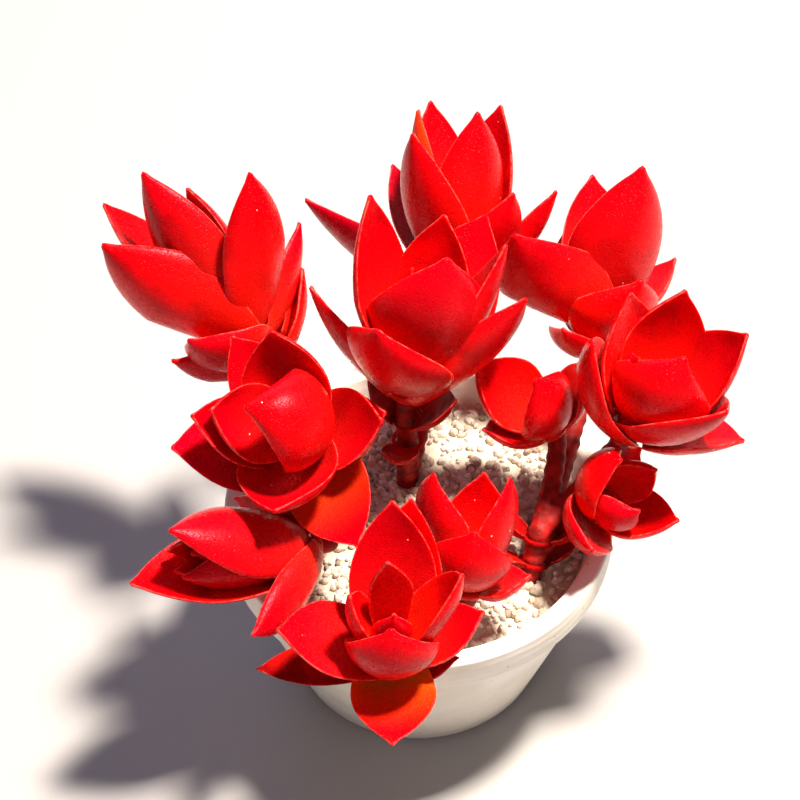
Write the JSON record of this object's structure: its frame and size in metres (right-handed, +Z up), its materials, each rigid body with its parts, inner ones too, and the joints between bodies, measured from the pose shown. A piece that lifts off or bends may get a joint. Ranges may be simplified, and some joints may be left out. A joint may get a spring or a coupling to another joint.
{
  "type": "potted crassula succulent",
  "caption": "Succulent with rosettes of fleshy red leaves in opposite pairs on short branching stems, rooted in pale grit in a low round pot that stands on its flat base.",
  "frame": {"origin": "centre of the pot's flat underside, on the surface that the pot stands on", "axes": "+Z up through the plant, -Y towards the side that the picture is taken from, +X to the right as seen from there"},
  "size_m": [0.1446, 0.1469, 0.1247],
  "materials": {
    "leaf": "satin",
    "old_leaf": "matte",
    "stem": "matte",
    "grit": "matte",
    "pot": "matte"
  },
  "bodies": {
    "root": {"pot": "pot", "potting_mix": "grit", "stem_centre": "stem", "stem_front": "stem", "stem_left": "stem", "stem_right": "stem", "front_pair_1": "old_leaf", "front_pair_2": "leaf", "front_pair_3": "leaf", "front_pair_4": "leaf", "front_pair_5": "leaf", "front_pair_6": "leaf", "fore_pair_1": "leaf", "fore_pair_2": "leaf", "fore_pair_3": "leaf", "low_left_pair_1": "leaf", "low_left_pair_2": "leaf", "low_left_pair_3": "leaf", "low_left_pair_4": "leaf", "mid_left_pair_1": "leaf", "mid_left_pair_2": "leaf", "mid_left_pair_3": "leaf", "mid_left_pair_4": "leaf", "mid_left_pair_5": "leaf", "top_left_pair_1": "leaf", "top_left_pair_2": "leaf", "top_left_pair_3": "leaf", "top_left_pair_4": "leaf", "top_left_pair_5": "leaf", "back_pair_1": "leaf", "back_pair_2": "leaf", "back_pair_3": "leaf", "back_pair_4": "leaf", "back_pair_5": "leaf", "centre_pair_1": "leaf", "centre_pair_2": "leaf", "centre_pair_3": "leaf", "centre_pair_4": "leaf", "centre_pair_5": "leaf", "top_right_pair_1": "leaf", "top_right_pair_2": "leaf", "top_right_pair_3": "leaf", "top_right_pair_4": "leaf", "right_pair_1": "leaf", "right_pair_2": "leaf", "right_pair_3": "leaf", "right_pair_4": "leaf", "small_pair_1": "leaf", "small_pair_2": "leaf", "low_right_pair_1": "leaf", "low_right_pair_2": "leaf", "low_right_pair_3": "leaf", "centre_stem_pair_1": "old_leaf", "centre_stem_pair_2": "old_leaf", "right_stem_pair_1": "old_leaf", "right_stem_pair_2": "old_leaf"}
  },
  "joints": []
}
